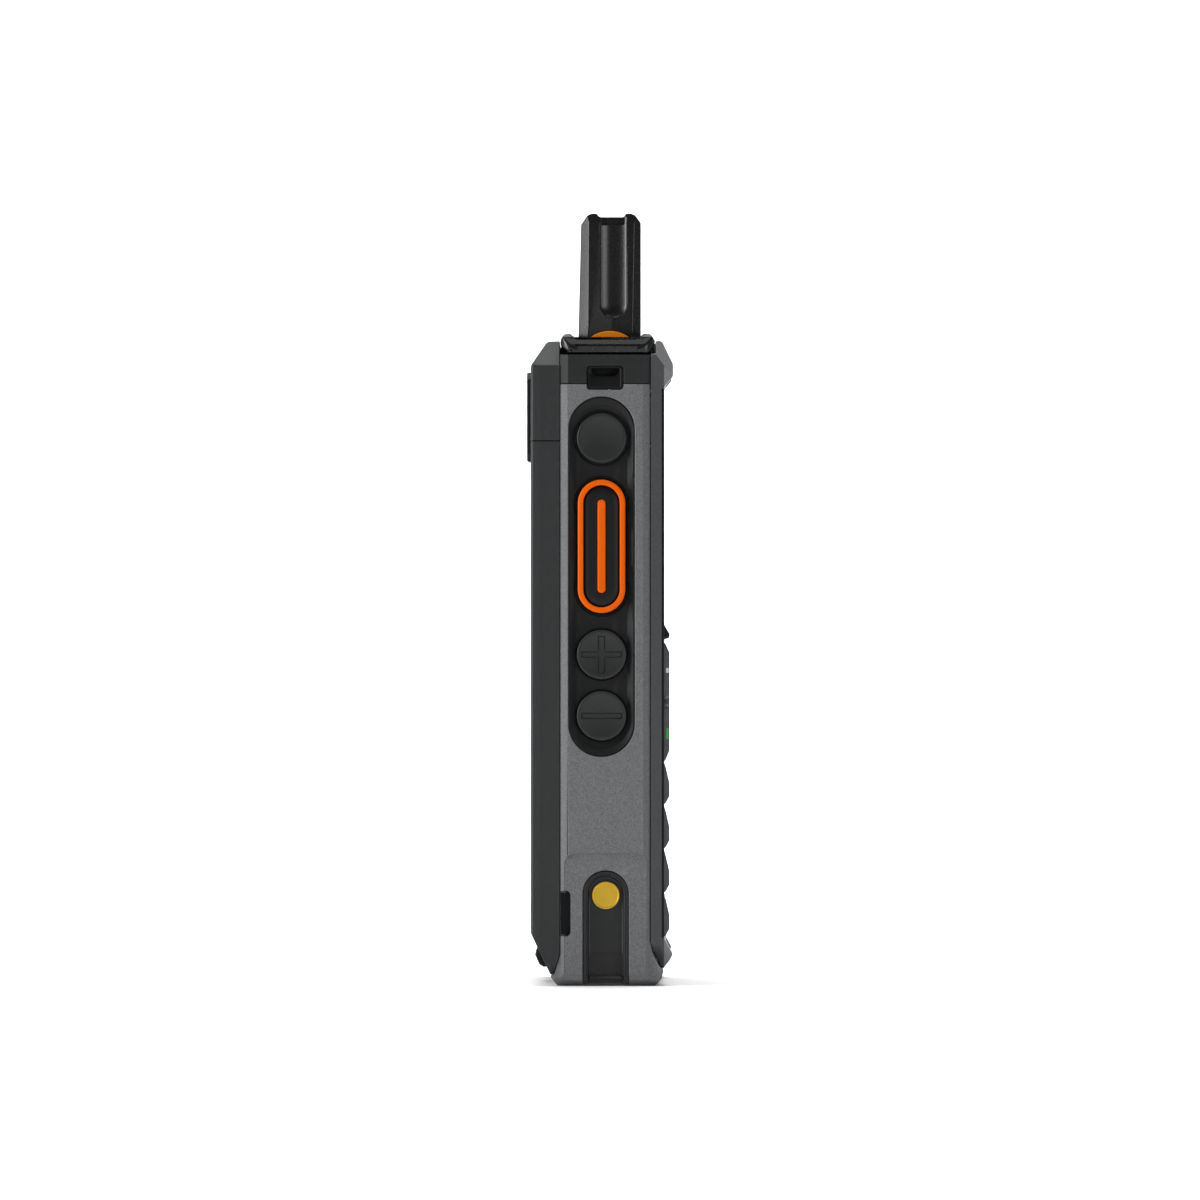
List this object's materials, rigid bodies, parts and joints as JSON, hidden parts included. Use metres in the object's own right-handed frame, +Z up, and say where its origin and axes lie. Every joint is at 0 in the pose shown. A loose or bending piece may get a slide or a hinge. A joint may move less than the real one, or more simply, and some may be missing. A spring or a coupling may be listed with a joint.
{
  "type": "two way radio",
  "caption": "Push-to-talk handheld radio with a stub antenna, side talk and volume keys, screen, keypad and clip-in battery.",
  "frame": {"origin": "middle of the flat foot that the radio stands on", "axes": "+Z up to the antenna, -Y out of the screen and keypad, +Y out of the battery, -X out of the talk key"},
  "size_m": [0.0559, 0.0283, 0.149],
  "materials": {
    "grey_shell": "fine speckled texture, mid grey",
    "dark_shell": "fine texture, dark grey",
    "black_plastic": "satin black",
    "black_rubber": "matt black rubber",
    "orange_plastic": "satin orange",
    "gold_contact": "gold plated, satin",
    "lens": "dark glossy window",
    "display": "glass and foil stack",
    "lamp": "milky clear",
    "speaker_cloth": "fine black mesh",
    "circuit_board": "green solder mask",
    "steel": "bright plated",
    "cell_can": "bare can"
  },
  "bodies": {
    "radio": {"main_frame": "grey_shell", "front_shell": "dark_shell", "contact_channel_left": "black_plastic", "contact_channel_right": "black_plastic", "lanyard_anchor": "black_plastic", "top_housing": "black_plastic", "antenna_collar": "black_plastic", "front_panel": "black_plastic", "side_key_bezel": "black_plastic", "rear_cover": "black_plastic", "clip_plate": "black_plastic", "battery_connector": "black_plastic", "antenna_cover": "black_rubber", "keypad_mat": "black_rubber", "antenna_ring": "orange_plastic", "charge_contact_left": "gold_contact", "charge_contact_right": "gold_contact", "display_lens": "lens", "display_module": "display", "microphone": "display", "status_lamp": "lamp", "speaker_mesh": "speaker_cloth", "main_board": "circuit_board", "side_switch_board": "circuit_board", "antenna_core": "steel", "loudspeaker": "steel", "shield_can": "steel", "usb_connector": "steel", "plate_screw_left": "steel", "plate_screw_right": "steel"},
    "battery": {"battery_cover": "black_plastic", "battery_base": "black_plastic", "battery_cell": "cell_can"},
    "latch": {"battery_latch": "black_plastic"},
    "ptt": {"ptt_button": "black_rubber", "ptt_ring": "orange_plastic", "ptt_bar": "orange_plastic"},
    "program": {"program_button": "black_rubber"},
    "volume_up": {"volume_up_button": "black_rubber"},
    "volume_down": {"volume_down_button": "black_rubber"},
    "port_flap": {"port_cover": "black_rubber"},
    "soft_key_left_body": {"soft_key_left": "black_rubber"},
    "soft_key_right_body": {"soft_key_right": "black_rubber"},
    "call_key_body": {"call_key": "black_rubber"},
    "end_key_body": {"end_key": "black_rubber"},
    "navigation_ring_body": {"navigation_ring": "black_rubber"},
    "ok_key_body": {"ok_key": "black_rubber"},
    "key_1_body": {"key_1": "black_rubber"},
    "key_2_body": {"key_2": "black_rubber"},
    "key_3_body": {"key_3": "black_rubber"},
    "key_4_body": {"key_4": "black_rubber"},
    "key_5_body": {"key_5": "black_rubber"},
    "key_6_body": {"key_6": "black_rubber"},
    "key_7_body": {"key_7": "black_rubber"},
    "key_8_body": {"key_8": "black_rubber"},
    "key_9_body": {"key_9": "black_rubber"},
    "key_star_body": {"key_star": "black_rubber"},
    "key_0_body": {"key_0": "black_rubber"},
    "key_hash_body": {"key_hash": "black_rubber"}
  },
  "joints": [
    {"name": "battery_slide", "type": "slide", "parent": "radio", "child": "battery", "axis": [0, 1, 0], "range_m": [0, 0.03]},
    {"name": "latch_slide", "type": "slide", "parent": "battery", "child": "latch", "axis": [0, 0.4495, 0.8933], "range_m": [0, 0.0015], "stiffness_N_per_m": 400, "springref_m": -0.001},
    {"name": "ptt_press", "type": "slide", "parent": "radio", "child": "ptt", "axis": [1, 0, 0], "range_m": [0, 0.0008], "stiffness_N_per_m": 1500, "springref_m": -0.0005},
    {"name": "program_press", "type": "slide", "parent": "radio", "child": "program", "axis": [1, 0, 0], "range_m": [0, 0.0005], "stiffness_N_per_m": 1500, "springref_m": -0.0005},
    {"name": "volume_up_press", "type": "slide", "parent": "radio", "child": "volume_up", "axis": [1, 0, 0], "range_m": [0, 0.0005], "stiffness_N_per_m": 1500, "springref_m": -0.0005},
    {"name": "volume_down_press", "type": "slide", "parent": "radio", "child": "volume_down", "axis": [1, 0, 0], "range_m": [0, 0.0005], "stiffness_N_per_m": 1500, "springref_m": -0.0005},
    {"name": "port_flap_hinge", "type": "hinge", "parent": "radio", "child": "port_flap", "pos_m": [0.0276, -0.0032, 0.066], "axis": [0, 1, 0], "range_deg": [0, 110], "stiffness_Nm_per_rad": 0.0006, "springref_deg": -11.46},
    {"name": "soft_key_left_press", "type": "slide", "parent": "radio", "child": "soft_key_left_body", "axis": [0, 1, 0], "range_m": [0, 0.0004], "stiffness_N_per_m": 1500, "springref_m": -0.0005},
    {"name": "soft_key_right_press", "type": "slide", "parent": "radio", "child": "soft_key_right_body", "axis": [0, 1, 0], "range_m": [0, 0.0004], "stiffness_N_per_m": 1500, "springref_m": -0.0005},
    {"name": "call_key_press", "type": "slide", "parent": "radio", "child": "call_key_body", "axis": [0, 1, 0], "range_m": [0, 0.0004], "stiffness_N_per_m": 1500, "springref_m": -0.0005},
    {"name": "end_key_press", "type": "slide", "parent": "radio", "child": "end_key_body", "axis": [0, 1, 0], "range_m": [0, 0.0004], "stiffness_N_per_m": 1500, "springref_m": -0.0005},
    {"name": "navigation_ring_press", "type": "slide", "parent": "radio", "child": "navigation_ring_body", "axis": [0, 1, 0], "range_m": [0, 0.0004], "stiffness_N_per_m": 1500, "springref_m": -0.0005},
    {"name": "ok_key_press", "type": "slide", "parent": "radio", "child": "ok_key_body", "axis": [0, 1, 0], "range_m": [0, 0.0004], "stiffness_N_per_m": 1500, "springref_m": -0.0005},
    {"name": "key_1_press", "type": "slide", "parent": "radio", "child": "key_1_body", "axis": [0, 1, 0], "range_m": [0, 0.0004], "stiffness_N_per_m": 1500, "springref_m": -0.0005},
    {"name": "key_2_press", "type": "slide", "parent": "radio", "child": "key_2_body", "axis": [0, 1, 0], "range_m": [0, 0.0004], "stiffness_N_per_m": 1500, "springref_m": -0.0005},
    {"name": "key_3_press", "type": "slide", "parent": "radio", "child": "key_3_body", "axis": [0, 1, 0], "range_m": [0, 0.0004], "stiffness_N_per_m": 1500, "springref_m": -0.0005},
    {"name": "key_4_press", "type": "slide", "parent": "radio", "child": "key_4_body", "axis": [0, 1, 0], "range_m": [0, 0.0004], "stiffness_N_per_m": 1500, "springref_m": -0.0005},
    {"name": "key_5_press", "type": "slide", "parent": "radio", "child": "key_5_body", "axis": [0, 1, 0], "range_m": [0, 0.0004], "stiffness_N_per_m": 1500, "springref_m": -0.0005},
    {"name": "key_6_press", "type": "slide", "parent": "radio", "child": "key_6_body", "axis": [0, 1, 0], "range_m": [0, 0.0004], "stiffness_N_per_m": 1500, "springref_m": -0.0005},
    {"name": "key_7_press", "type": "slide", "parent": "radio", "child": "key_7_body", "axis": [0, 1, 0], "range_m": [0, 0.0004], "stiffness_N_per_m": 1500, "springref_m": -0.0005},
    {"name": "key_8_press", "type": "slide", "parent": "radio", "child": "key_8_body", "axis": [0, 1, 0], "range_m": [0, 0.0004], "stiffness_N_per_m": 1500, "springref_m": -0.0005},
    {"name": "key_9_press", "type": "slide", "parent": "radio", "child": "key_9_body", "axis": [0, 1, 0], "range_m": [0, 0.0004], "stiffness_N_per_m": 1500, "springref_m": -0.0005},
    {"name": "key_star_press", "type": "slide", "parent": "radio", "child": "key_star_body", "axis": [0, 1, 0], "range_m": [0, 0.0004], "stiffness_N_per_m": 1500, "springref_m": -0.0005},
    {"name": "key_0_press", "type": "slide", "parent": "radio", "child": "key_0_body", "axis": [0, 1, 0], "range_m": [0, 0.0004], "stiffness_N_per_m": 1500, "springref_m": -0.0005},
    {"name": "key_hash_press", "type": "slide", "parent": "radio", "child": "key_hash_body", "axis": [0, 1, 0], "range_m": [0, 0.0004], "stiffness_N_per_m": 1500, "springref_m": -0.0005}
  ]
}
